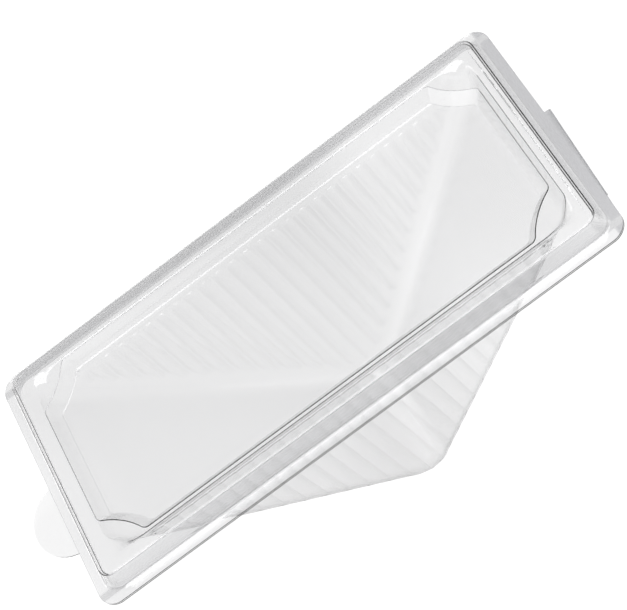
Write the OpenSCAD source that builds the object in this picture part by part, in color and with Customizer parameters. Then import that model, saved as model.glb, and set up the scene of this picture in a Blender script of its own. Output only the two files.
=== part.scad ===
// Hinged wedge pack for a sandwich, formed from clear plastic sheet: a three-cornered pocket
// with fluted side walls and a nested window lid, closed, standing on its tab and its fold.

/* [Sheet] */
// Thickness of the formed sheet
sheet_t = 0.4; // [0.3:0.05:0.7]
// Gap between the two flanges when closed
close_gap = 0.3; // [0.2:0.05:0.6]
// Side clearance between the nested rims
nest_gap = 0.4; // [0.3:0.05:0.6]

/* [Rim] */
// Length over the flanges
rim_l = 190; // [180:1:210]
// Width over the flanges
rim_w = 93; // [88:1:110]
// Corner radius of the flanges
rim_r = 6; // [4:0.5:8]
// Flat flange outside the lid's frame
flange_w = 3.5; // [2.5:0.1:4]

/* [Lid] */
// Height of the frame's top above the lid's flange
frame_h = 6.6; // [5.5:0.1:9]
// Slope of the frame's outer wall, measured flat
frame_run = 1.8; // [1:0.1:2.4]
// Width of the frame's flat top
frame_top_w = 6.4; // [5:0.1:8]
// Corner radius of the frame at the flange
frame_r = 6; // [4.5:0.5:8]
// Depth of the window below the frame's top
recess_d = 3.9; // [2.5:0.1:4.5]
// Slope of the wall round the window, measured flat
recess_run = 3.4; // [2.5:0.1:4]
// Length that each corner pad takes off a side of the window
pad_leg = 10.8; // [8:0.1:14]
// Bulge of a corner pad's edge into the window
pad_bulge = 1; // [0.6:0.1:2]

/* [Pocket] */
// Length of the pocket's mouth
mouth_l = 162.7; // [150:0.1:164]
// Width of the pocket's mouth
mouth_w = 65; // [55:0.5:66]
// Flat distance from the tab end of the rim to the mouth
mouth_inset = 14.6; // [13.5:0.1:17]
// Corner radius of the mouth
mouth_r = 5; // [3:0.5:5.5]
// Depth of the pocket from the flange to the fold
pocket_d = 87.6; // [70:0.1:95]
// Distance from the tab end of the mouth to the fold
fold_at = 79; // [74:0.1:88]
// Inner radius of the fold
fold_r = 9; // [6:0.5:14]
// Inner radius of the edges between the legs and the side walls
edge_r = 6; // [3:0.5:8]
// Draft angle of the two side walls, in degrees
wall_draft = 5.9; // [3:0.1:8]
// Slope of the base's rim between its crest and the mouth, measured flat
crest_run = 3.2; // [2.6:0.1:3.6]

/* [Flutes] */
// Distance between the flutes of the side walls
flute_pitch = 5.5; // [5:0.1:9]
// Width of one flute
flute_w = 4.6; // [3:0.1:4.8]
// Height of one flute
flute_h = 0.7; // [0.5:0.05:1.2]
// Plain band between the mouth and the flutes
flute_gap = 1.2; // [0.8:0.1:4]

/* [Tab and hinge] */
// Width of the thumb tab at the flange
tab_w = 26.5; // [20:0.5:36]
// Reach of the thumb tab beyond the flange
tab_reach = 10.6; // [6:0.1:14]
// Place of the tab's middle across the rim, as a share from the near side
tab_share = 0.39; // [0.3:0.01:0.6]
// Distance of the hinge's fold beyond the flange
hinge_reach = 2.35; // [1.5:0.05:4]
// Gap between the two hinge strips when the lid is laid right back
hinge_gap = 0.3; // [0.2:0.05:0.5]
// Narrow and wide ends of the hinge strips, as shares from the near side
hinge_shares = [0.09, 0.55]; // [0.08:0.01:0.9]

/* [Hidden] */
$fn = 64;
// Overrun of every cut
cut = 1;
sheet_colour = [0.86, 0.88, 0.88, 0.45];

// Flat distance that a drafted wall shifts when its face is offset by one unit
function slant(run, rise) = sqrt(1 + pow(run / rise, 2));

// Lid levels, above the top of the base's flange
lid_low = close_gap;
lid_crest = lid_low + frame_h;
window_top = lid_crest - recess_d;
frame_slant = slant(frame_run, frame_h);
recess_slant = slant(recess_run, recess_d);
window_inset = flange_w + frame_run + frame_top_w + recess_run;

// Corner pads: arcs struck from outside the window's corners
pad_chord = pad_leg * sqrt(2);
pad_r = (pow(pad_chord / 2, 2) + pow(pad_bulge, 2)) / (2 * pad_bulge);
pad_corner = window_inset + pad_leg / 2 + (pad_bulge - pad_r) / sqrt(2);

// Base rim: nested inside the lid's frame with a constant clearance
nest = sheet_t + nest_gap;
crest_h = lid_crest - sheet_t - close_gap;
crest_inset = flange_w + nest * frame_slant;
crest_wall_run = frame_run * crest_h / frame_h;
crest_r = frame_r - nest;

// Pocket: leg angles, the fold's centre and the side walls
leg_tab = atan2(pocket_d, fold_at);
leg_hinge = atan2(pocket_d, mouth_l - fold_at);
normal_tab = [-sin(leg_tab), -cos(leg_tab)];
normal_hinge = [sin(leg_hinge), -cos(leg_hinge)];
fold_point = [mouth_inset + fold_at, -pocket_d];
fold_centre = fold_point - fold_r * (normal_tab + normal_hinge) / (1 + normal_tab * normal_hinge);
leg_reach = mouth_l;
wall_inset = (rim_w - mouth_w) / 2;
wall_normal = [0, -cos(wall_draft), -sin(wall_draft)];
// Bevels that round each sloping edge, as shares of the turn from the leg to the wall
bevel_shares = [0.2, 0.5, 0.8];
crest_slant = slant(crest_run, crest_h);

// Flutes: part-round channels, set so that their width and height come out as named
flute_r = (pow(flute_w / 2, 2) + pow(flute_h, 2)) / (2 * flute_h);
flute_count = floor((mouth_l - 2 * mouth_r) / flute_pitch);
flute_first = mouth_inset + mouth_l / 2 - (flute_count - 1) * flute_pitch / 2;

// Thumb tab: an arc through the flange's edge
tab_r = (pow(tab_w / 2, 2) + pow(tab_reach, 2)) / (2 * tab_reach);
tab_at = tab_share * rim_w;

// Hinge strips: each stops half the gap short of the fold
strip_reach = hinge_reach - hinge_gap / 2;

// Standing pose: the floor touches the tab's tip and the round of the fold
toe = [-tab_reach, -sheet_t];
toe_to_fold = fold_centre - toe;
pose = atan2(toe_to_fold[1], toe_to_fold[0]) - asin((fold_r + sheet_t) / norm(toe_to_fold));
function along_floor(p) = (p - toe)[0] * cos(pose) + (p - toe)[1] * sin(pose);
floor_low = along_floor([-tab_reach, 0]);
floor_high = max(along_floor([rim_l + strip_reach, -sheet_t]), along_floor(fold_centre) + fold_r + sheet_t);

// Turns the closed pack from its flat rim to its standing pose, with the origin under its middle
module stand() {
    translate([-(floor_low + floor_high) / 2, -rim_w / 2, 0])
        rotate([0, pose, 0])
            translate([-toe[0], 0, -toe[1]])
                children();
}

// Outline lying across the rim, given as width and height, run along the length from one place to another
module along_length(from, to) {
    translate([from, 0, 0])
        rotate([90, 0, 90])
            linear_extrude(to - from)
                children();
}

// Outline lying along the rim, given as length and height, run across the width from one place to another
module across_width(from, to) {
    translate([0, to, 0])
        rotate([90, 0, 0])
            linear_extrude(to - from)
                children();
}

// Flat plate with round corners
module plate(l, w, r, h) {
    linear_extrude(h) {
        translate([r, 0])
            square([l - 2 * r, w]);
        translate([0, r])
            square([l, w - 2 * r]);
        for (x = [r, l - r], y = [r, w - r])
            translate([x, y])
                circle(r);
    }
}

// Block with round corners whose four walls lean in by run over the height, or out if run is negative
module drafted_block(l, w, r, run, h) {
    along_length(r, l - r)
        polygon([[0, 0], [w, 0], [w - run, h], [run, h]]);
    across_width(r, w - r)
        polygon([[0, 0], [l, 0], [l - run, h], [run, h]]);
    for (x = [r, l - r], y = [r, w - r])
        translate([x, y, 0])
            cylinder(r1 = r, r2 = r - run, h = h);
}

// Block of the lid's frame, shrunk by a wall and reaching from one level to another
module frame_block(shrink, from, to) {
    run_per_rise = frame_run / frame_h;
    rise = to - from;
    inset = flange_w + shrink * frame_slant + (from - lid_low) * run_per_rise;
    r = frame_r - shrink - (from - lid_low) * run_per_rise;
    translate([inset, inset, from])
        drafted_block(rim_l - 2 * inset, rim_w - 2 * inset, r, rise * run_per_rise, rise);
}

// Block with square corners whose four walls lean out by run over the height
module flared_block(l, w, run, h) {
    intersection() {
        along_length(-run, l + run)
            polygon([[0, 0], [w, 0], [w + run, h], [-run, h]]);
        across_width(-run, w + run)
            polygon([[0, 0], [l, 0], [l + run, h], [-run, h]]);
    }
}

// Hollow above the window, grown by a wall, with a pad standing in each corner
module window_hollow(grow) {
    run_per_rise = recess_run / recess_d;
    low = window_top - grow;
    rise = lid_crest + cut - low;
    shift = grow * (recess_slant - run_per_rise);
    inset = window_inset - shift;
    foot_r = pad_r - shift + cut * run_per_rise;
    pad_h = rise + 2 * cut;
    difference() {
        translate([inset, inset, low])
            flared_block(rim_l - 2 * inset, rim_w - 2 * inset, rise * run_per_rise, rise);
        for (x = [pad_corner, rim_l - pad_corner], y = [pad_corner, rim_w - pad_corner])
            translate([x, y, low - cut])
                cylinder(r1 = foot_r, r2 = foot_r - pad_h * run_per_rise, h = pad_h);
    }
}

// Strip that reaches to the fold of the hinge, wide at one end and running out at the other
module hinge_strip() {
    linear_extrude(sheet_t)
        polygon([
            [rim_l - rim_r, hinge_shares[0] * rim_w],
            [rim_l, hinge_shares[0] * rim_w],
            [rim_l + strip_reach, hinge_shares[1] * rim_w],
            [rim_l - rim_r, hinge_shares[1] * rim_w]
        ]);
}

// Block of the base's crest, shrunk by a wall and reaching from one level to another
module crest_block(shrink, from, to) {
    run_per_rise = crest_wall_run / crest_h;
    rise = to - from;
    inset = crest_inset + shrink * frame_slant + from * run_per_rise;
    r = crest_r - shrink - from * run_per_rise;
    translate([inset, inset, from])
        drafted_block(rim_l - 2 * inset, rim_w - 2 * inset, r, rise * run_per_rise, rise);
}

// Funnel from the mouth of the pocket up through the base's crest, grown by a wall, up to one level
module mouth_funnel(grow, to) {
    spread = grow * crest_slant;
    run = to * crest_run / crest_h;
    translate([mouth_inset - spread, wall_inset - spread, 0])
        drafted_block(mouth_l + 2 * spread, mouth_w + 2 * spread, mouth_r + grow, -run, to);
}

// Ledge round the mouth, which closes the corners between the funnel's round corners and the pocket's edges
module mouth_ledge() {
    spread = sheet_t * crest_slant;
    translate([mouth_inset - spread, wall_inset - spread, -sheet_t])
        cube([mouth_l + 2 * spread, mouth_w + 2 * spread, 2 * sheet_t]);
}

// Two legs and the round fold between them, seen from the side
module leg_outline(grow) {
    r = fold_r + grow;
    foot_tab = fold_centre + r * normal_tab;
    foot_hinge = fold_centre + r * normal_hinge;
    intersection() {
        union() {
            polygon([
                foot_tab,
                foot_hinge,
                foot_hinge + leg_reach * [cos(leg_hinge), sin(leg_hinge)],
                foot_tab + leg_reach * [-cos(leg_tab), sin(leg_tab)]
            ]);
            translate(fold_centre)
                circle(r);
        }
        translate([-rim_l, -2 * pocket_d])
            square([3 * rim_l, 2 * pocket_d]);
    }
}

// Everything beyond a plane, given its direction, a point and the plane's distance from that point
module beyond(direction, point, distance) {
    span = 3 * rim_l;
    translate(point)
        rotate([0, acos(direction[2]), atan2(direction[1], direction[0])])
            translate([-span / 2, -span / 2, distance])
                cube(span);
}

// Bevels along the near edge of one leg, which lie round a cylinder inside the edge
module edge_bevels(leg_normal, grow) {
    n = [leg_normal[0], 0, leg_normal[1]];
    edge = [fold_point[0], wall_inset + pocket_d * tan(wall_draft), -pocket_d];
    centre = edge - edge_r * (n + wall_normal) / (1 + n * wall_normal);
    for (share = bevel_shares) {
        lean = (1 - share) * n + share * wall_normal;
        beyond(lean / norm(lean), centre, edge_r + grow);
    }
}

// Flutes of the near side wall, which stand into the pocket, less a wall
module flutes(grow) {
    flute_l = pocket_d / cos(wall_draft);
    for (i = [0 : flute_count - 1])
        translate([flute_first + i * flute_pitch, wall_inset, 0])
            rotate([wall_draft, 0, 0])
                translate([0, flute_h - flute_r, -flute_gap - grow - flute_l])
                    cylinder(r = flute_r - grow, h = flute_l);
}

// Wedge between the two side walls, grown by a wall, with its flutes taken out
module wall_wedge(grow) {
    shift = grow / cos(wall_draft);
    deep = pocket_d + fold_r;
    run = deep * tan(wall_draft);
    difference() {
        along_length(0, rim_l)
            polygon([
                [wall_inset - shift, 0],
                [rim_w - wall_inset + shift, 0],
                [rim_w - wall_inset + shift - run, -deep],
                [wall_inset - shift + run, -deep]
            ]);
        flutes(grow);
        far_side()
            flutes(grow);
    }
}

// Repeats a shape of the near side on the far side
module far_side() {
    translate([0, rim_w, 0])
        mirror([0, 1, 0])
            children();
}

// Bevels along the near edges of both legs
module near_bevels(grow) {
    edge_bevels(normal_tab, grow);
    edge_bevels(normal_hinge, grow);
}

// Hollow of the pocket below the mouth, grown by a wall
module pocket_hollow(grow) {
    difference() {
        intersection() {
            across_width(0, rim_w)
                leg_outline(grow);
            wall_wedge(grow);
        }
        near_bevels(grow);
        far_side()
            near_bevels(grow);
    }
}

// Flange with the thumb tab and the lower hinge strip, and the hollow crest that stands on it
module base_rim() {
    difference() {
        union() {
            translate([0, 0, -sheet_t]) {
                plate(rim_l, rim_w, rim_r, sheet_t);
                hinge_strip();
                translate([tab_r - tab_reach, tab_at, 0])
                    cylinder(r = tab_r, h = sheet_t);
            }
            crest_block(0, 0, crest_h);
        }
        crest_block(sheet_t, -sheet_t - cut, crest_h - sheet_t);
    }
}

// Rim, funnel and pocket, in one sheet
module base() {
    color(sheet_colour)
        stand()
            difference() {
                union() {
                    base_rim();
                    mouth_ledge();
                    mouth_funnel(sheet_t, crest_h);
                    pocket_hollow(sheet_t);
                }
                mouth_funnel(0, crest_h + cut);
                pocket_hollow(0);
            }
}

// Flange, raised frame, recessed window with corner pads and the upper hinge strip, in one sheet
module lid() {
    color(sheet_colour)
        stand()
            difference() {
                union() {
                    translate([0, 0, lid_low]) {
                        plate(rim_l, rim_w, rim_r, sheet_t);
                        hinge_strip();
                    }
                    frame_block(0, lid_low, lid_crest);
                }
                window_hollow(0);
                difference() {
                    frame_block(sheet_t, lid_low - cut, lid_crest - sheet_t);
                    window_hollow(sheet_t);
                }
            }
}

base();
lid();
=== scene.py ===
"""Clear hinged wedge pack: two formed sheets and the film of their hinge, on a pale studio floor."""

import math

import bpy
import numpy as np
from mathutils import Matrix


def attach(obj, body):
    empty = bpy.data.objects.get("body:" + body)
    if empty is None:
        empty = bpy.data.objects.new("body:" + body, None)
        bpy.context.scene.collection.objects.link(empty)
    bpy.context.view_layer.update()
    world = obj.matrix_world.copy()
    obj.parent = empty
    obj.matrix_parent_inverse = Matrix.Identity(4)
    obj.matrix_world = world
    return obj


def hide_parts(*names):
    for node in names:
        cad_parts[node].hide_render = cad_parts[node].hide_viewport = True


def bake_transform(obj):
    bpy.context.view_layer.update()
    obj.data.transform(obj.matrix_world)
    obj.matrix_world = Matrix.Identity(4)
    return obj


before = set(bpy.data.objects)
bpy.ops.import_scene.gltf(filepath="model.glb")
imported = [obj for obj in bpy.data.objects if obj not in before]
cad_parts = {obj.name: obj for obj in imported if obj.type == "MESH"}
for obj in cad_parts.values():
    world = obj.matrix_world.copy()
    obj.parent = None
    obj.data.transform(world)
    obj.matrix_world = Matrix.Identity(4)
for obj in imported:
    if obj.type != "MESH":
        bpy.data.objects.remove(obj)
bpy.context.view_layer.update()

# Sizes in millimetres, as in the part's source
MM = 0.001
SHEET = 0.4
CLOSE_GAP = 0.3
NEST_GAP = 0.4
RIM_L, RIM_W, RIM_R = 190.0, 93.0, 6.0
FLANGE_W = 3.5
FRAME_H, FRAME_RUN, FRAME_TOP_W, FRAME_R = 6.6, 1.8, 6.4, 6.0
RECESS_D, RECESS_RUN = 3.9, 3.4
PAD_LEG, PAD_BULGE = 10.8, 1.0
MOUTH_L, MOUTH_W, MOUTH_INSET = 162.7, 65.0, 14.6
POCKET_D, FOLD_AT, FOLD_R, EDGE_R = 87.6, 79.0, 9.0, 6.0
WALL_DRAFT = math.radians(5.9)
CREST_RUN = 3.2
FLUTE_PITCH, FLUTE_H, FLUTE_GAP = 5.5, 0.7, 1.2
FLUTE_END_ROOM = 10
TAB_W, TAB_REACH, TAB_AT = 26.5, 10.6, 0.39 * RIM_W
HINGE_REACH, HINGE_ROOM = 2.35, 0.15
STRIP_NEAR, STRIP_FAR = 0.09 * RIM_W, 0.55 * RIM_W

# Sizes that follow from them
LID_LOW = CLOSE_GAP
LID_CREST = LID_LOW + FRAME_H
LID_FLANGE_TOP = LID_LOW + SHEET
WINDOW_TOP = LID_CREST - RECESS_D
FRAME_TOP_INSET = FLANGE_W + FRAME_RUN
RECESS_INSET = FRAME_TOP_INSET + FRAME_TOP_W
WINDOW_INSET = RECESS_INSET + RECESS_RUN
FRAME_SLANT = math.hypot(1, FRAME_RUN / FRAME_H)
CREST_H = LID_CREST - SHEET - CLOSE_GAP
CREST_INSET = FLANGE_W + (SHEET + NEST_GAP) * FRAME_SLANT
CREST_WALL_RUN = FRAME_RUN * CREST_H / FRAME_H
CREST_TOP_INSET = CREST_INSET + CREST_WALL_RUN
CREST_R = FRAME_R - SHEET - NEST_GAP
WALL_INSET = (RIM_W - MOUTH_W) / 2

# Sizes of the scene alone: round bends, and the places where a loop of points runs
STRIP_REACH = 1.75          # the film of the hinge takes the rest
STRIP_STEP = 0.08           # half the width of the step at the strip's far end
BEND_STEPS = 6
EDGE_LOOP = 0.2
FRAME_BENDS = [1.3, 0.55]
RECESS_BENDS = [0.5, 0.8]
FRAME_TOP_MID = 8.2
WINDOW_LOOP = 3.0
PAD_ROUND = 2.4
CREST_BENDS = [0.7, 1.2]
CREST_LOOP = 1.6
FUNNEL_LOOP, FUNNEL_R = 2.4, 0.9
SOFT_LOOP, SOFT_R = 5.0, 7.5
FUNNEL_SHARES = (0.12, 0.4, 0.7)
TAB_SHARES = (0.04, 0.35, 0.7, 1.0)
TAB_LOOP = 0.15
FLUTE_SPREAD, FLUTE_POWER = 0.47, 2.2
FLUTE_DOME = 0.75
FLUTE_FADE_END, FLUTE_FADE = 0.8, 0.55
BEZIER = 0.5523
FILM_T, FILM_BULGE = 0.16, 0.9
FILM_ROWS, FILM_COLS = 24, 9
FILM_FROM, FILM_TO, FILM_LAP = 6.0, 0.1, 0.05
SHARP_ANGLE = math.radians(55)
EDGE_TOL = 1e-6
TINY = 1e-9

# Standing pose: the floor touches the tab's tip and the round of the fold
leg_tab = math.atan2(POCKET_D, FOLD_AT)
leg_hinge = math.atan2(POCKET_D, MOUTH_L - FOLD_AT)
normal_tab = np.array([-math.sin(leg_tab), -math.cos(leg_tab)])
normal_hinge = np.array([math.sin(leg_hinge), -math.cos(leg_hinge)])
fold_tip = np.array([MOUTH_INSET + FOLD_AT, -POCKET_D])
fold_centre = fold_tip - FOLD_R * (normal_tab + normal_hinge) / (1 + normal_tab @ normal_hinge)
toe = np.array([-TAB_REACH, -SHEET])
to_fold = fold_centre - toe
POSE = math.atan2(to_fold[1], to_fold[0]) - math.asin((FOLD_R + SHEET) / np.linalg.norm(to_fold))
LENGTH_AXIS = np.array([math.cos(POSE), 0, -math.sin(POSE)])
HEIGHT_AXIS = np.array([math.sin(POSE), 0, math.cos(POSE)])


def along(u, w):
    """Distance along the floor from the tab's tip."""
    return (u - toe[0]) * math.cos(POSE) + (w - toe[1]) * math.sin(POSE)


hinge_end = along(RIM_L + HINGE_REACH - HINGE_ROOM, -SHEET)
fold_end = along(*fold_centre) + FOLD_R + SHEET
MIDDLE = (along(-TAB_REACH, 0) + max(hinge_end, fold_end)) / 2


def rest(p):
    """Points of the rim's own frame (length, width, height, in mm) in the standing frame, in metres."""
    p = np.asarray(p, float)
    u, v, w = p[..., 0] - toe[0], p[..., 1], p[..., 2] - toe[1]
    x = u * math.cos(POSE) + w * math.sin(POSE) - MIDDLE
    z = -u * math.sin(POSE) + w * math.cos(POSE)
    return np.stack([x, v - RIM_W / 2, z], -1) * MM


# Helpers for the sheets

def rounded(points, radii):
    """Polyline whose inner corners are rounded to the given radii."""
    pts = [np.array(p, float) for p in points]
    out = [pts[0]]
    for p, a, b, r in zip(pts[1:-1], pts[:-2], pts[2:], radii):
        da, db = (a - p) / np.linalg.norm(a - p), (b - p) / np.linalg.norm(b - p)
        half = math.acos(max(-1.0, min(1.0, float(da @ db)))) / 2
        reach = r / math.tan(half)
        mid = (da + db) / np.linalg.norm(da + db)
        c = p + mid * r / math.sin(half)
        start, end = p + da * reach - c, p + db * reach - c
        turn = math.pi - 2 * half
        for s in np.linspace(0, 1, BEND_STEPS + 1):
            out.append(c + (math.sin((1 - s) * turn) * start + math.sin(s * turn) * end) / math.sin(turn))
    out.append(pts[-1])
    return np.array(out)


def grid_faces(rows, cols, wrap):
    """Quads between neighbouring rows of points, given as a table of vertex numbers."""
    index = np.arange(rows * cols).reshape(rows, cols)
    right = np.roll(index, -1, 1) if wrap else index[:, 1:]
    left = index if wrap else index[:, :-1]
    return np.stack([left[:-1], right[:-1], right[1:], left[1:]], -1).reshape(-1, 4)


def at_level(xy, w):
    """Points in the rim's plane, raised to a level."""
    return np.concatenate([xy, np.full((len(xy), 1), w)], 1)


def lengths(p):
    """Distance of each point along its polyline."""
    return np.concatenate([[0], np.cumsum(np.hypot(*np.diff(p, axis=0).T))])


def vertex_normals(v, quads, caps):
    """Normals of the points of a sheet, from the faces round them."""
    n = np.zeros_like(v)
    across = np.cross(v[quads[:, 2]] - v[quads[:, 0]], v[quads[:, 3]] - v[quads[:, 1]])
    for k in range(4):
        np.add.at(n, quads[:, k], across)
    for cap in caps:
        p = v[cap]
        d = np.cross(p, np.roll(p, -1, 0)).sum(0)
        n[cap] += d / np.linalg.norm(d) / 2
    return n / np.maximum(np.linalg.norm(n, axis=1), TINY)[:, None]


def sheet_mesh(name, v, quads, caps, edge, thickness, line_shade=None):
    """Closed sheet: the upper face given, the lower face set below it, and a wall round the edge."""
    n = vertex_normals(v, quads, caps)
    count = len(v)
    verts = np.concatenate([v, v - n * thickness])
    faces = [tuple(f) for f in quads] + [tuple(c) for c in caps]
    faces += [tuple(count + i for i in reversed(f)) for f in faces]
    edge = list(edge)
    for a, b in zip(edge, edge[1:] + edge[:1]):
        faces.append((a, count + a, count + b, b))
    mesh = bpy.data.meshes.new(name)
    mesh.from_pydata(rest(verts).tolist(), [], faces)
    mesh.validate()
    mesh.polygons.foreach_set("use_smooth", [True] * len(mesh.polygons))
    mesh.set_sharp_from_angle(angle=SHARP_ANGLE)
    mesh.update()
    # strength of the painted shade lines at each point, kept as a point attribute
    if line_shade is not None:
        lines = mesh.attributes.new("line_shade", "FLOAT", "POINT")
        lines.data.foreach_set("value", np.concatenate([line_shade, line_shade]))
    obj = bpy.data.objects.new(name, mesh)
    bpy.context.scene.collection.objects.link(obj)
    return obj


def strip_reach(v):
    """Reach of a hinge strip beyond the flange at a place across the rim."""
    t = (v - STRIP_NEAR) / (STRIP_FAR - STRIP_NEAR)
    return np.where((t >= 0) & (t <= 1), STRIP_REACH * t, 0.0)


def tab_reach(v):
    """Reach of the thumb tab beyond the flange at a place across the rim."""
    r = (TAB_W ** 2 / 4 + TAB_REACH ** 2) / (2 * TAB_REACH)
    s = r * r - (v - TAB_AT) ** 2
    return np.where(np.abs(v - TAB_AT) < TAB_W / 2, np.sqrt(np.maximum(s, 0)) - (r - TAB_REACH), 0.0)


def side_share(v):
    """Places across the rim as shares of its short side's straight length."""
    return (np.asarray(v) - RIM_R) / (RIM_W - 2 * RIM_R)


# Lid: closed loops from the edge to the window, and one flat window
SIDE_U = np.linspace(0, 1, 64)
strip_ends = [STRIP_NEAR, STRIP_FAR - STRIP_STEP, STRIP_FAR + STRIP_STEP]
SIDE_V = np.unique(np.concatenate([np.linspace(0, 1, 44), side_share(strip_ends)]))
ROUND_N, ARC_N = 8, 15
CORNER_N = 2 * ROUND_N + ARC_N
pad_chord = PAD_LEG * math.sqrt(2)
PAD_R = (pad_chord ** 2 / 4 + PAD_BULGE ** 2) / (2 * PAD_BULGE)
PAD_CORNER = WINDOW_INSET + PAD_LEG / 2 + (PAD_BULGE - PAD_R) / math.sqrt(2)


def ring(corner):
    """Closed loop from one corner's points (from the short side round to the long side, near the origin)."""
    def flip_u(p):
        return np.stack([RIM_L - p[:, 0], p[:, 1]], 1)

    def flip_v(p):
        return np.stack([p[:, 0], RIM_W - p[:, 1]], 1)

    def side(a, b, t):
        return a + (b - a) * t[1:-1, None]

    near_tab, near_hinge = corner, flip_u(corner)[::-1]
    far_hinge, far_tab = flip_v(flip_u(corner)), flip_v(corner)[::-1]
    return np.concatenate([
        near_tab, side(near_tab[-1], near_hinge[0], SIDE_U),
        near_hinge, side(near_hinge[-1], far_hinge[0], SIDE_V),
        far_hinge, side(far_hinge[-1], far_tab[0], SIDE_U),
        far_tab, side(far_tab[-1], near_tab[0], 1 - SIDE_V[::-1])])


def round_corner(inset, r):
    """Corner of a loop on the flange or the frame: one round."""
    a = np.linspace(math.pi, 1.5 * math.pi, CORNER_N)
    return np.stack([inset + r + r * np.cos(a), inset + r + r * np.sin(a)], 1)


def pad_corner(inset):
    """Corner of the window's wall round a pad: a small round, the pad's arc and a small round."""
    r = PAD_R + inset - WINDOW_INSET
    q = PAD_ROUND
    cv = inset + q
    cu = PAD_CORNER + math.sqrt((r + q) ** 2 - (cv - PAD_CORNER) ** 2)
    to_pad = math.atan2(PAD_CORNER - cv, PAD_CORNER - cu)
    turn = np.linspace(to_pad % (2 * math.pi), 1.5 * math.pi, ROUND_N + 1)
    small = np.stack([cu + q * np.cos(turn), cv + q * np.sin(turn)], 1)
    end = math.atan2(small[0, 1] - PAD_CORNER, small[0, 0] - PAD_CORNER)
    arc = np.linspace(math.pi / 2 - end, end, ARC_N)
    pad = PAD_CORNER + r * np.stack([np.cos(arc), np.sin(arc)], 1)
    return np.concatenate([small[:0:-1, ::-1], pad, small[1:]])


wall_foot = FLANGE_W + SHEET * FRAME_RUN / FRAME_H
frame_path = rounded([(EDGE_LOOP, LID_FLANGE_TOP), (wall_foot, LID_FLANGE_TOP),
                      (FRAME_TOP_INSET, LID_CREST), (FRAME_TOP_MID, LID_CREST)], FRAME_BENDS)
recess_path = rounded([(FRAME_TOP_MID, LID_CREST), (RECESS_INSET, LID_CREST), (WINDOW_INSET, WINDOW_TOP),
                       (WINDOW_INSET + WINDOW_LOOP, WINDOW_TOP)], RECESS_BENDS)[1:]
edge_loop = ring(round_corner(0, RIM_R))
edge_loop[:, 0] += np.where(edge_loop[:, 0] > RIM_L - EDGE_TOL, strip_reach(edge_loop[:, 1]), 0)
lid_loops = [at_level(edge_loop, LID_FLANGE_TOP)]
for d, w in frame_path:
    lid_loops.append(at_level(ring(round_corner(d, FRAME_R - max(0.0, d - FLANGE_W))), w))
for d, w in recess_path:
    lid_loops.append(at_level(ring(pad_corner(d)), w))
ring_n = len(edge_loop)
lid_v = np.concatenate(lid_loops)
lid_quads = grid_faces(len(lid_loops), ring_n, True)
lid_cap = list(range(len(lid_v) - ring_n, len(lid_v)))

# Strength of the painted shade lines (thin grey lines in place of dark reflections) at the edge, the wall's
# foot, the frame's two bends and the window's foot
EDGE_LINE, FOOT_LINE, OUTER_LINE, INNER_LINE, WINDOW_LINE = 0.7, 0.8, 1.0, 1.25, 0.3
swell = np.sin(np.linspace(0, math.pi, BEND_STEPS + 1))
painted_line_rows = np.concatenate([
    [EDGE_LINE, 0], FOOT_LINE * swell ** 6, OUTER_LINE * swell ** 2, [0],
    INNER_LINE * swell, WINDOW_LINE * swell ** 2, [0]])
painted_line_points = np.repeat(painted_line_rows, ring_n)
lid = sheet_mesh("lid_sheet", lid_v, lid_quads, [lid_cap], range(ring_n), SHEET, painted_line_points)


# Base: the pocket as sections along the length, then loops from its mouth out to the edge

def leg_level(u):
    """Level of the legs and the fold at a place along the length, with its slope."""
    u0, u1 = MOUTH_INSET, MOUTH_INSET + MOUTH_L
    k0, k1 = POCKET_D / FOLD_AT, POCKET_D / (MOUTH_L - FOLD_AT)
    if u < fold_centre[0] + FOLD_R * normal_tab[0]:
        return -(u - u0) * k0, -k0
    if u > fold_centre[0] + FOLD_R * normal_hinge[0]:
        return -(u1 - u) * k1, k1
    s = math.sqrt(FOLD_R ** 2 - (u - fold_centre[0]) ** 2)
    return fold_centre[1] - s, (u - fold_centre[0]) / s


flute_n = int((MOUTH_L - FLUTE_END_ROOM) / FLUTE_PITCH)
flute_low = MOUTH_INSET + MOUTH_L / 2 - flute_n * FLUTE_PITCH / 2
flute_high = flute_low + flute_n * FLUTE_PITCH
flute_steps = np.array([0, 0.05, 0.16, 0.33, 0.5, 0.67, 0.84, 0.95])
start_u = MOUTH_INSET + FOLD_AT / POCKET_D
end_u = MOUTH_INSET + MOUTH_L - (MOUTH_L - FOLD_AT) / POCKET_D
CORNER_STATIONS, CORNER_POWER = 13, 1.4
corner_steps = np.linspace(0, 1, CORNER_STATIONS) ** CORNER_POWER
stations = np.concatenate([
    start_u + (flute_low - start_u) * corner_steps[:-1],
    (flute_low + FLUTE_PITCH * (np.arange(flute_n)[:, None] + flute_steps[None, :])).ravel(),
    flute_high + (end_u - flute_high) * (1 - corner_steps[::-1])])

tab_points = np.linspace(TAB_AT - TAB_W / 2, TAB_AT + TAB_W / 2, 29)
cross_shares = np.concatenate([side_share(tab_points), side_share(strip_ends[1:])])
LEG_SHARE = np.unique(np.concatenate([np.linspace(0, 1, 25), cross_shares]))
TOP_ROWS = np.array([0, 0.7, 1.15, 1.25, 1.4, 1.6, 1.8, 2.0])    # closer at the flutes' upper ends
LOW_ROW, LOW_N = 3.2, 11
FULL_WALL = 12.0            # on a lower wall all the rows are drawn together
WALL_N, BEND_N = len(TOP_ROWS) + LOW_N, 9
SHORT_WALL, SHORT_SHARE = 0.05, 0.12


def flute_shape(u):
    """Height of the flutes at a place along the length, from 0 at the cusps to 1 on the crowns."""
    if not flute_low < u < flute_high:
        return 0.0
    x = ((u - flute_low) / FLUTE_PITCH) % 1.0 - 0.5
    return max(0.0, 1 - (abs(x) / FLUTE_SPREAD) ** FLUTE_POWER)


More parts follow.
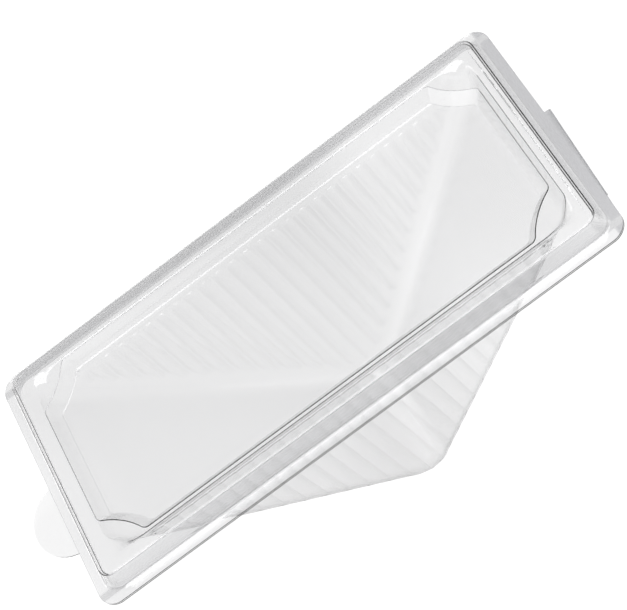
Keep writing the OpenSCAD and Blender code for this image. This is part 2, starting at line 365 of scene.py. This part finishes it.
def wall_rows(height):
    """Distances of the wall's rows from the mouth."""
    if height < FULL_WALL:
        return np.concatenate([TOP_ROWS, np.linspace(LOW_ROW, FULL_WALL, LOW_N)]) * height / FULL_WALL
    return np.concatenate([TOP_ROWS, np.linspace(LOW_ROW, height, LOW_N)])


def half_profile(u):
    """Width and level of the near half of a section, from the mouth down to the leg, and the leg's level."""
    level, slope = leg_level(u)
    t = math.tan(WALL_DRAFT)
    corner = np.array([WALL_INSET - level * t, level])
    up = np.array([-t, 1.0]) / math.hypot(1, t)
    bend_h = EDGE_R * math.hypot(1, slope)
    p0, p3 = corner + up * bend_h, corner + np.array([EDGE_R, 0.0])
    p1, p2 = p0 + BEZIER * (corner - p0), p3 + BEZIER * (corner - p3)

    def bezier(s):
        s = s[:, None]
        return (1 - s) ** 3 * p0 + 3 * s * (1 - s) ** 2 * p1 + 3 * s * s * (1 - s) * p2 + s ** 3 * p3

    bend_s = np.linspace(0, 1, BEND_N + 1)[1:]
    if p0[1] < -SHORT_WALL:
        wall = np.array([WALL_INSET, 0.0]) - up * wall_rows(-p0[1] / up[1])[:, None]
        prof = np.concatenate([wall, bezier(bend_s)])
    else:
        dense = np.linspace(0, 1, 400)
        first = float(np.interp(0.0, bezier(dense)[::-1, 1], dense[::-1]))
        low_s = SHORT_SHARE + (1 - SHORT_SHARE) * bend_s
        s = np.concatenate([np.linspace(0, SHORT_SHARE, WALL_N), low_s])
        prof = bezier(first + (1 - first) * s)
    run = lengths(prof)
    dome = np.clip((run - FLUTE_GAP) / FLUTE_DOME, 0, 1)
    fade = np.clip((run[-1] - run - FLUTE_FADE_END * bend_h) / (FLUTE_FADE * bend_h), 0, 1)
    rise = dome * (1.5 - 0.5 * dome * dome) * fade * fade * (3 - 2 * fade)
    d = np.gradient(prof, axis=0)
    out = np.stack([d[:, 1], -d[:, 0]], 1)
    out /= np.maximum(np.hypot(*out.T), TINY)[:, None]
    return prof - out * (FLUTE_H * flute_shape(u) * rise)[:, None], level


sections = []
for u in stations:
    near, level = half_profile(u)
    far = np.stack([RIM_W - near[::-1, 0], near[::-1, 1]], 1)
    v = near[-1, 0] + LEG_SHARE[1:-1] * (far[0, 0] - near[-1, 0])
    leg = at_level(v[:, None], level)
    section = np.concatenate([near, leg, far])
    sections.append(np.concatenate([np.full((len(section), 1), u), section], 1))
pocket = np.array(sections)
nu, nm = pocket.shape[:2]
pocket_v = pocket.reshape(-1, 3)
pocket_quads = grid_faces(nu, nm, False)[:, ::-1]
table = np.arange(nu * nm).reshape(nu, nm)
mouth = np.concatenate([table[:, 0], table[-1, 1:-1], table[::-1, -1], table[0, -2:0:-1]])
mouth_p = pocket_v[mouth]
mouth_n = len(mouth)

# Outline of the mouth at the rim's level: the section's ends carried up along the legs
lean = np.where(mouth_p[:, 0] < RIM_L / 2, -FOLD_AT / POCKET_D, (MOUTH_L - FOLD_AT) / POCKET_D)
outline = np.stack([mouth_p[:, 0] - lean * mouth_p[:, 2], mouth_p[:, 1]], 1)

# Each mouth point lies on a side (0 near, 1 hinge, 2 far, 3 tab) or in a corner (4 to 7),
# at a share of its length
kind = np.zeros(mouth_n, int)
share = np.zeros(mouth_n)


def mark(ids, k, s):
    """Notes the side or corner of some mouth points, and their shares."""
    kind[ids] = k
    share[ids] = s


def mark_corner(ids, k):
    """Marks one corner's points, given in order from the long side to the short side."""
    s = lengths(outline[ids])
    mark(ids[1:-1], k, (s / s[-1])[1:-1])


end_n = nm - 2
near_ids = np.arange(nu)
hinge_ids = np.arange(nu, nu + end_n)
far_ids = np.arange(nu + end_n, 2 * nu + end_n)[::-1]
tab_ids = np.arange(2 * nu + end_n, 2 * nu + 2 * end_n)[::-1]
corner_rows = WALL_N + BEND_N
first_flute = int(np.argmax(stations >= flute_low))
last_flute = nu - 1 - int(np.argmax(stations[::-1] <= flute_high))
fluted = slice(first_flute, last_flute + 1)
fluted_share = (stations[fluted] - stations[first_flute]) / (stations[last_flute] - stations[first_flute])
leg_ids = slice(corner_rows - 2, nm - corner_rows)
mark(near_ids[fluted], 0, fluted_share)
mark(hinge_ids[leg_ids], 1, LEG_SHARE)
mark(far_ids[fluted], 2, fluted_share)
mark(tab_ids[leg_ids], 3, LEG_SHARE)
to_tab, to_hinge = slice(first_flute, None, -1), slice(last_flute, None)
mark_corner(np.concatenate([near_ids[to_tab], tab_ids[:corner_rows - 1]]), 4)
mark_corner(np.concatenate([near_ids[to_hinge], hinge_ids[:corner_rows - 1]]), 5)
mark_corner(np.concatenate([far_ids[to_hinge], hinge_ids[::-1][:corner_rows - 1]]), 6)
mark_corner(np.concatenate([far_ids[to_tab], tab_ids[::-1][:corner_rows - 1]]), 7)

# Directions of the four sides and the four corners, and each mouth point's own direction out of the mouth
WAYS = np.array([[0, -1], [1, 0], [0, 1], [-1, 0], [-1, -1], [1, -1], [1, 1], [-1, 1]])
way = WAYS[kind]
in_corner = kind >= 4
corner_turn = share * math.pi / 2
round_way = np.stack([np.sin(corner_turn), np.cos(corner_turn)], 1)
out_dir = np.where(in_corner[:, None], way * round_way, way)


def rim_ring(inset, r):
    """Rounded rectangle with one point for each mouth point."""
    low = np.full(2, inset + r)
    high = np.array([RIM_L, RIM_W]) - inset - r
    straight = low + share[:, None] * (high - low)
    return np.select([way < 0, way > 0], [low, high], straight) + r * out_dir


def crest_r(inset):
    """Radius of the base's rim at an inset: the crest's own, growing to the edge's outside the crest."""
    if inset > CREST_INSET - TINY:
        return CREST_R - max(0.0, inset - CREST_INSET)
    return CREST_R + (RIM_R - CREST_R) * (CREST_INSET - inset) / CREST_INSET


def funnel_loops(last, r):
    """Offsets and levels of the loops from the mouth up to the crest."""
    path = rounded([(0, 0), (CREST_RUN, CREST_H), (CREST_RUN + last, CREST_H)], [r])
    first = [path[0] + (path[1] - path[0]) * s for s in FUNNEL_SHARES]
    return np.concatenate([first, path[1:]])


corner_share = np.where(in_corner, np.sin(math.pi * share) ** 3, 0.0)[:, None]
base_loops = []
for side, soft in zip(funnel_loops(FUNNEL_LOOP, FUNNEL_R), funnel_loops(SOFT_LOOP, SOFT_R)):
    offset, level = ((1 - corner_share) * side + corner_share * soft).T[:, :, None]
    base_loops.append(np.concatenate([outline + out_dir * offset, level], 1))
crest_path = rounded([(CREST_TOP_INSET + CREST_LOOP, CREST_H), (CREST_TOP_INSET, CREST_H),
                      (CREST_INSET, 0), (EDGE_LOOP, 0)], CREST_BENDS)
for d, w in crest_path:
    base_loops.append(at_level(rim_ring(d, crest_r(d)), w))
edge = rim_ring(0, RIM_R)
edge_reach = np.where(edge[:, 0] > RIM_L - EDGE_TOL, strip_reach(edge[:, 1]), 0)
edge_reach -= np.where(edge[:, 0] < EDGE_TOL, tab_reach(edge[:, 1]), 0)
for s in TAB_SHARES:
    loop = rim_ring(TAB_LOOP * (1 - s), RIM_R)
    loop[:, 0] += s * edge_reach
    base_loops.append(at_level(loop, 0.0))
base_v = np.concatenate([pocket_v] + base_loops)
loop_ids = len(pocket_v) + np.arange(len(base_loops) * mouth_n).reshape(-1, mouth_n)
rings = np.concatenate([mouth[None, :], loop_ids])
next_ids = np.roll(rings, -1, 1)
ring_quads = np.stack([rings[:-1], rings[1:], next_ids[1:], next_ids[:-1]], -1).reshape(-1, 4)
base_quads = np.concatenate([pocket_quads, ring_quads])
base = sheet_mesh("base_sheet", base_v, base_quads, [], rings[-1], SHEET)

# Film of the hinge: a half round from the base's strip to the lid's
film_r = CLOSE_GAP / 2 + SHEET / 2
film_v = []
for v in np.linspace(STRIP_NEAR + FILM_FROM, STRIP_FAR - FILM_TO, FILM_ROWS):
    film_u = RIM_L + float(strip_reach(np.array(v))) - FILM_LAP
    for a in np.linspace(-math.pi / 2, math.pi / 2, FILM_COLS):
        film_v.append((film_u + FILM_BULGE * film_r * math.cos(a), v, CLOSE_GAP / 2 + film_r * math.sin(a)))
film_quads = grid_faces(FILM_ROWS, FILM_COLS, False)[:, ::-1]
film_ids = np.arange(FILM_ROWS * FILM_COLS).reshape(FILM_ROWS, FILM_COLS)
film_edge = np.concatenate([film_ids[0], film_ids[1:, -1], film_ids[-1, -2::-1], film_ids[-2:0:-1, 0]])[::-1]
film = sheet_mesh("hinge_film", np.array(film_v), film_quads, [], film_edge, FILM_T)

for obj, body in ((base, "base"), (lid, "lid")):
    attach(obj, body)
    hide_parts(body)
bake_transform(film)


# Helpers for materials

def new_tree(owner):
    """Empty node tree of a material or a world."""
    owner.use_nodes = True
    owner.node_tree.nodes.clear()
    return owner.node_tree


def add(tree, kind, inputs=None, **settings):
    """New node of a kind, with its settings and the values of its inputs."""
    node = tree.nodes.new(kind)
    for key, value in settings.items():
        setattr(node, key, value)
    for key, value in (inputs or {}).items():
        node.inputs[key].default_value = value
    return node


def map_range(tree, low, high, to_low=0.0, to_high=1.0, **settings):
    """New node that takes one range of values to another."""
    ends = {"From Min": low, "From Max": high, "To Min": to_low, "To Max": to_high}
    return add(tree, "ShaderNodeMapRange", ends, **settings)


def wire(tree, *links):
    """Links between nodes, each given as a node and its output, then a node and its input."""
    for source, output, target, into in links:
        tree.links.new(source.outputs[output], target.inputs[into])


def length_at(u):
    """Value of the object's own length axis at a place along the rim."""
    return float(rest((u, 0, 0)) @ LENGTH_AXIS)


def height_at(w):
    """Value of the object's own height axis at a level."""
    return float(rest((0, 0, w)) @ HEIGHT_AXIS)


# Material of the sheet: clear, with uneven gloss and tone, and painted shade: greyer where it is seen edge
# on, on the hinge's flange and the frame's side walls, and in thin lines along the lid's bends
PET_IOR = 1.57
CLEAR_LOW, CLEAR_HIGH = (0.985, 0.985, 0.988, 1), (0.996, 0.996, 0.998, 1)
# painted shade: grey of the hinge's flange and of the frame's side walls
HINGE_PAINTED_SHADE = (0.82, 0.82, 0.83, 1)
FRAME_WALL_PAINTED_SHADE = (0.88, 0.88, 0.885, 1)
# painted shade: greys seen edge on, darkest on the pocket's side walls
EDGE_ON_PAINTED_SHADE, POCKET_EDGE_ON_PAINTED_SHADE = (0.38, 0.38, 0.385, 1), (0.06, 0.06, 0.062, 1)
# painted shade: grey of the thin lines along the lid's bends
PAINTED_LINE_GREY = (0.4, 0.4, 0.41, 1)
SHADOW_CLEAR = (0.95, 0.95, 0.95, 1)
EDGE_ON_POWER, HINGE_EDGE_ON = 2.4, 0.4
PAINTED_LINE_STRENGTH = 0.55
GLOSS_LOW, GLOSS_HIGH = 0.015, 0.05
LEG_HAZE = 0.15
LEG_FROM, LEG_TO = -6.0, -2.0               # levels between which the legs begin
SIDE_FROM, SIDE_TO = 0.4, 0.8               # sideways share of a side wall's normal
FLANGE_BLEND = 0.5
HINGE_FROM, HINGE_TO = 2.0, 1.0             # before the frame's wall at the hinge
FRAME_WALL_SHIFT, FRAME_WALL_HALF = 0.35, 1.3
FRAME_WALL_MID = RIM_W / 2 - FLANGE_W - FRAME_RUN / 2 - FRAME_WALL_SHIFT


def clear_sheet(name):
    """Clear formed sheet, which lets shadow and diffuse rays straight through."""
    material = bpy.data.materials.new(name)
    tree = new_tree(material)
    place = add(tree, "ShaderNodeTexCoord")

    # gloss, and the haze of the two legs below the rim
    gloss_noise = add(tree, "ShaderNodeTexNoise", {"Scale": 60, "Detail": 3})
    gloss = map_range(tree, 0.0, 1.0, GLOSS_LOW, GLOSS_HIGH)
    height = add(tree, "ShaderNodeVectorMath", {1: HEIGHT_AXIS}, operation="DOT_PRODUCT")
    below_rim = map_range(tree, height_at(LEG_FROM), height_at(LEG_TO), 1.0, 0.0)
    normal = add(tree, "ShaderNodeSeparateXYZ")
    sideways = add(tree, "ShaderNodeMath", operation="ABSOLUTE")
    side_wall = map_range(tree, SIDE_FROM, SIDE_TO)
    not_side = add(tree, "ShaderNodeMath", {0: 1.0}, operation="SUBTRACT")
    leg = add(tree, "ShaderNodeMath", operation="MULTIPLY")
    roughness = add(tree, "ShaderNodeMath", {1: LEG_HAZE}, operation="MULTIPLY_ADD")

    # waves of the surface
    waves = add(tree, "ShaderNodeTexNoise", {"Scale": 14, "Detail": 0.5})
    bump = add(tree, "ShaderNodeBump", {"Strength": 0.12, "Distance": 0.0002})

    # tone, with painted shade on the hinge's flange and on the frame's side walls: greyer there
    tint = add(tree, "ShaderNodeTexNoise", {"Scale": 18})
    tone = add(tree, "ShaderNodeValToRGB")
    tone.color_ramp.elements[0].color = CLEAR_LOW
    tone.color_ramp.elements[1].color = CLEAR_HIGH
    length = add(tree, "ShaderNodeVectorMath", {1: LENGTH_AXIS}, operation="DOT_PRODUCT")
    flange_u = RIM_L - FLANGE_W
    hinge_shade_zone = map_range(tree, length_at(flange_u - FLANGE_BLEND), length_at(flange_u + FLANGE_BLEND))
    hinge_shade_tone = add(tree, "ShaderNodeMix", {"B": HINGE_PAINTED_SHADE}, data_type="RGBA")
    position = add(tree, "ShaderNodeSeparateXYZ")
    off_middle = add(tree, "ShaderNodeMath", operation="ABSOLUTE")
    wall_zone = {1: FRAME_WALL_MID * MM, 2: FRAME_WALL_HALF * MM}
    frame_wall_shade_zone = add(tree, "ShaderNodeMath", wall_zone, operation="COMPARE")
    frame_wall_shade_tone = add(tree, "ShaderNodeMix", {"B": FRAME_WALL_PAINTED_SHADE}, data_type="RGBA")

    # painted shade in place of dark reflections: greyer edge on, less at the hinge's end and more on the
    # pocket's side walls
    graze = add(tree, "ShaderNodeLayerWeight", {"Blend": 0.5})
    edge_on = add(tree, "ShaderNodeMath", {1: EDGE_ON_POWER}, operation="POWER")
    frame_u = flange_u - FRAME_RUN
    hinge_zone = length_at(frame_u - HINGE_FROM), length_at(frame_u - HINGE_TO)
    hinge_share = map_range(tree, *hinge_zone, 1.0, HINGE_EDGE_ON)
    edge_share = add(tree, "ShaderNodeMath", operation="MULTIPLY")
    pocket_wall = add(tree, "ShaderNodeMath", operation="MULTIPLY")
    edge_on_shade_grey = add(tree, "ShaderNodeMix", {"A": EDGE_ON_PAINTED_SHADE, "B": POCKET_EDGE_ON_PAINTED_SHADE}, data_type="RGBA")
    edge_on_shade_tone = add(tree, "ShaderNodeMix", data_type="RGBA")

    # painted shade: thin grey lines along the lid's bends, in place of the dark reflections there
    line_shade = add(tree, "ShaderNodeAttribute", attribute_name="line_shade")
    painted_line_share = add(tree, "ShaderNodeMath", {1: PAINTED_LINE_STRENGTH}, operation="MULTIPLY")
    painted_line_tone = add(tree, "ShaderNodeMix", {"B": PAINTED_LINE_GREY}, data_type="RGBA")

    shader = add(tree, "ShaderNodeBsdfPrincipled", {"Transmission Weight": 1.0, "IOR": PET_IOR})
    clear = add(tree, "ShaderNodeBsdfTransparent", {"Color": SHADOW_CLEAR})
    path = add(tree, "ShaderNodeLightPath")
    straight = add(tree, "ShaderNodeMath", operation="MAXIMUM")
    mix = add(tree, "ShaderNodeMixShader")
    out = add(tree, "ShaderNodeOutputMaterial")
    wire(tree,
         (place, "Object", gloss_noise, "Vector"), (gloss_noise, "Fac", gloss, "Value"),
         (place, "Object", height, 0), (height, "Value", below_rim, "Value"),
         (place, "Normal", normal, "Vector"), (normal, "Y", sideways, 0),
         (sideways, "Value", side_wall, "Value"),
         (side_wall, "Result", not_side, 1), (not_side, "Value", leg, 0), (below_rim, "Result", leg, 1),
         (leg, "Value", roughness, 0), (gloss, "Result", roughness, 2),
         (roughness, "Value", shader, "Roughness"),
         (place, "Object", waves, "Vector"), (waves, "Fac", bump, "Height"),
         (bump, "Normal", shader, "Normal"),
         (place, "Object", tint, "Vector"), (tint, "Fac", tone, "Fac"),
         (place, "Object", length, 0), (length, "Value", hinge_shade_zone, "Value"),
         (hinge_shade_zone, "Result", hinge_shade_tone, "Factor"), (tone, "Color", hinge_shade_tone, "A"),
         (place, "Object", position, "Vector"), (position, "Y", off_middle, 0),
         (off_middle, "Value", frame_wall_shade_zone, 0),
         (frame_wall_shade_zone, "Value", frame_wall_shade_tone, "Factor"), (hinge_shade_tone, "Result", frame_wall_shade_tone, "A"),
         (graze, "Facing", edge_on, 0), (edge_on, "Value", edge_share, 0),
         (length, "Value", hinge_share, "Value"), (hinge_share, "Result", edge_share, 1),
         (side_wall, "Result", pocket_wall, 0), (below_rim, "Result", pocket_wall, 1),
         (pocket_wall, "Value", edge_on_shade_grey, "Factor"), (edge_share, "Value", edge_on_shade_tone, "Factor"),
         (frame_wall_shade_tone, "Result", edge_on_shade_tone, "A"), (edge_on_shade_grey, "Result", edge_on_shade_tone, "B"),
         (line_shade, "Fac", painted_line_share, 0), (painted_line_share, "Value", painted_line_tone, "Factor"),
         (edge_on_shade_tone, "Result", painted_line_tone, "A"), (painted_line_tone, "Result", shader, "Base Color"),
         (path, "Is Shadow Ray", straight, 0), (path, "Is Diffuse Ray", straight, 1),
         (straight, "Value", mix, "Fac"), (shader, "BSDF", mix, 1), (clear, "BSDF", mix, 2),
         (mix, "Shader", out, "Surface"))
    return material


sheet_material = clear_sheet("clear_sheet")
for obj in (base, lid, film):
    obj.data.materials.append(sheet_material)

# Floor: white to the camera, and dimmer in what the sheet mirrors and lets through near the pack, with
# painted shade beyond its front right
FLOOR_HALF, FLOOR_Z = 3, -0.0002
FLOOR_GREY, BLACK = (0.8, 0.8, 0.8, 1), (0.0, 0.0, 0.0, 1)
CAMERA_GLOW, OPEN_GLOW = 0.62, 0.5
FRONT_RIGHT = (0.85, -0.53, 0.0)
# painted shade: a darker zone of the floor that the camera does not see
PAINTED_SHADE_ZONE, PAINTED_SHADE_LEVEL = (0.12, 0.27), 0.4
FAR_FLOOR = (0.36, 0.54)
BEHIND, BEHIND_GLOW = (0.0, 0.11), (0.48, 0.30)
RIGHT, RIGHT_GLOW = (0.06, 0.11), 0.15
SOFT = {"interpolation_type": "SMOOTHSTEP"}

floor_mesh = bpy.data.meshes.new("floor")
floor_corners = [(x * FLOOR_HALF, y * FLOOR_HALF, 0) for x, y in ((-1, -1), (1, -1), (1, 1), (-1, 1))]
floor_mesh.from_pydata(floor_corners, [], [(0, 1, 2, 3)])
floor = bpy.data.objects.new("floor", floor_mesh)
bpy.context.scene.collection.objects.link(floor)
floor.location.z = FLOOR_Z


def floor_material():
    """Pale floor that also glows. Its zones are in metres from the pack's middle."""
    material = bpy.data.materials.new("floor")
    tree = new_tree(material)
    path = add(tree, "ShaderNodeLightPath")
    place = add(tree, "ShaderNodeTexCoord")
    position = add(tree, "ShaderNodeSeparateXYZ")

    # painted shade: a grey zone beyond the front right, hidden from the camera, which ends where the floor is
    # far away
    across = add(tree, "ShaderNodeVectorMath", {1: FRONT_RIGHT}, operation="DOT_PRODUCT")
    painted_shade_zone = map_range(tree, *PAINTED_SHADE_ZONE, 1.0, PAINTED_SHADE_LEVEL, **SOFT)
    distance = add(tree, "ShaderNodeVectorMath", operation="LENGTH")
    far_away = map_range(tree, *FAR_FLOOR, **SOFT)
    shade = add(tree, "ShaderNodeMath", operation="MAXIMUM")
    seen = add(tree, "ShaderNodeMath", operation="MAXIMUM")

    # the glow that the sheet sees: dimmer behind the pack, brighter to its right
    behind = map_range(tree, *BEHIND, *BEHIND_GLOW, **SOFT)
    to_right = map_range(tree, *RIGHT, 0.0, RIGHT_GLOW, **SOFT)
    near_glow = add(tree, "ShaderNodeMath", operation="ADD")
    sheet_glow = add(tree, "ShaderNodeMix", {"B": OPEN_GLOW})
    glow_level = add(tree, "ShaderNodeMix", {"B": CAMERA_GLOW})
    strength = add(tree, "ShaderNodeMath", operation="MULTIPLY")

    tone = add(tree, "ShaderNodeMix", {"A": BLACK, "B": FLOOR_GREY}, data_type="RGBA")
    diffuse = add(tree, "ShaderNodeBsdfDiffuse")
    glow = add(tree, "ShaderNodeEmission")
    both = add(tree, "ShaderNodeAddShader")
    out = add(tree, "ShaderNodeOutputMaterial")
    wire(tree,
         (place, "Object", across, 0), (across, "Value", painted_shade_zone, "Value"),
         (place, "Object", distance, 0), (distance, "Value", far_away, "Value"),
         (painted_shade_zone, "Result", shade, 0), (far_away, "Result", shade, 1),
         (shade, "Value", seen, 0), (path, "Is Camera Ray", seen, 1),
         (seen, "Value", tone, "Factor"), (tone, "Result", diffuse, "Color"),
         (place, "Object", position, "Vector"), (position, "Y", behind, "Value"),
         (position, "X", to_right, "Value"),
         (behind, "Result", near_glow, 0), (to_right, "Result", near_glow, 1),
         (near_glow, "Value", sheet_glow, "A"), (far_away, "Result", sheet_glow, "Factor"),
         (sheet_glow, "Result", glow_level, "A"), (path, "Is Camera Ray", glow_level, "Factor"),
         (glow_level, "Result", strength, 0), (seen, "Value", strength, 1),
         (strength, "Value", glow, "Strength"),
         (diffuse, "BSDF", both, 0), (glow, "Emission", both, 1), (both, "Shader", out, "Surface"))
    return material


floor_mesh.materials.append(floor_material())

# World: nearly white to the camera, half way there through the sheet, and a plain fill light
WORLD_LEVEL, WORLD_CAMERA, WORLD_THROUGH = 0.25, 0.92, 0.5

world = bpy.data.worlds.new("studio")
bpy.context.scene.world = world
world_tree = new_tree(world)
ray = add(world_tree, "ShaderNodeLightPath")
through = add(world_tree, "ShaderNodeMath", {1: WORLD_THROUGH}, operation="MULTIPLY")
sight = add(world_tree, "ShaderNodeMath", operation="MAXIMUM")
world_level = map_range(world_tree, 0.0, 1.0, WORLD_LEVEL, WORLD_CAMERA)
background = add(world_tree, "ShaderNodeBackground", {"Color": (1.0, 1.0, 1.0, 1)})
world_out = add(world_tree, "ShaderNodeOutputWorld")
wire(world_tree,
     (ray, "Is Transmission Ray", through, 0), (through, "Value", sight, 0), (ray, "Is Camera Ray", sight, 1),
     (sight, "Value", world_level, "Value"), (world_level, "Result", background, "Strength"),
     (background, "Background", world_out, "Surface"))

# Lights and camera
LIGHT_TARGET = np.array([0, 0, 0.05])
LIGHT_UP = np.array([0, 1, 0.01])


def axes_matrix(x, y, z, place):
    """Placing matrix from three axes and a point."""
    return Matrix([(x[k], y[k], z[k], place[k]) for k in range(3)] + [(0, 0, 0, 1)])


def softbox(name, place, size, energy):
    """Rectangular lamp that looks at the pack."""
    light = bpy.data.lights.new(name, "AREA")
    light.shape = "RECTANGLE"
    light.size, light.size_y = size
    light.energy = energy
    obj = bpy.data.objects.new(name, light)
    bpy.context.scene.collection.objects.link(obj)
    z = np.array(place) - LIGHT_TARGET
    z /= np.linalg.norm(z)
    x = np.cross(LIGHT_UP, z)
    x /= np.linalg.norm(x)
    obj.matrix_world = axes_matrix(x, np.cross(z, x), z, place)


softbox("key", place=(-1.085, -0.266, 1.344), size=(1.26, 2.1), energy=23)
softbox("rim", place=(-1.3, 0.95, 0.17), size=(0.26, 0.9), energy=2)

CAMERA_LENS, CAMERA_SENSOR = 128.13, 36
CAMERA_PLACE = (-0.2673843, -0.3947131, 0.5419246)
CAMERA_RIGHT = np.array([0.8918124, -0.4194875, 0.1694133])
CAMERA_DOWN = np.array([-0.1946840, -0.6938756, -0.6932783])
CAMERA_FORWARD = np.array([0.4083734, 0.5852921, -0.7004744])

cam_data = bpy.data.cameras.new("camera")
cam_data.sensor_fit = "HORIZONTAL"
cam_data.sensor_width = CAMERA_SENSOR
cam_data.lens = CAMERA_LENS
cam_data.clip_start, cam_data.clip_end = 0.01, 20
camera = bpy.data.objects.new("camera", cam_data)
bpy.context.scene.collection.objects.link(camera)
camera.matrix_world = axes_matrix(CAMERA_RIGHT, -CAMERA_DOWN, -CAMERA_FORWARD, CAMERA_PLACE)

scene = bpy.context.scene
scene.camera = camera
scene.view_settings.view_transform = "Standard"
scene.cycles.max_bounces = 24
scene.cycles.transmission_bounces = 24
scene.cycles.transparent_max_bounces = 24
scene.cycles.glossy_bounces = 8
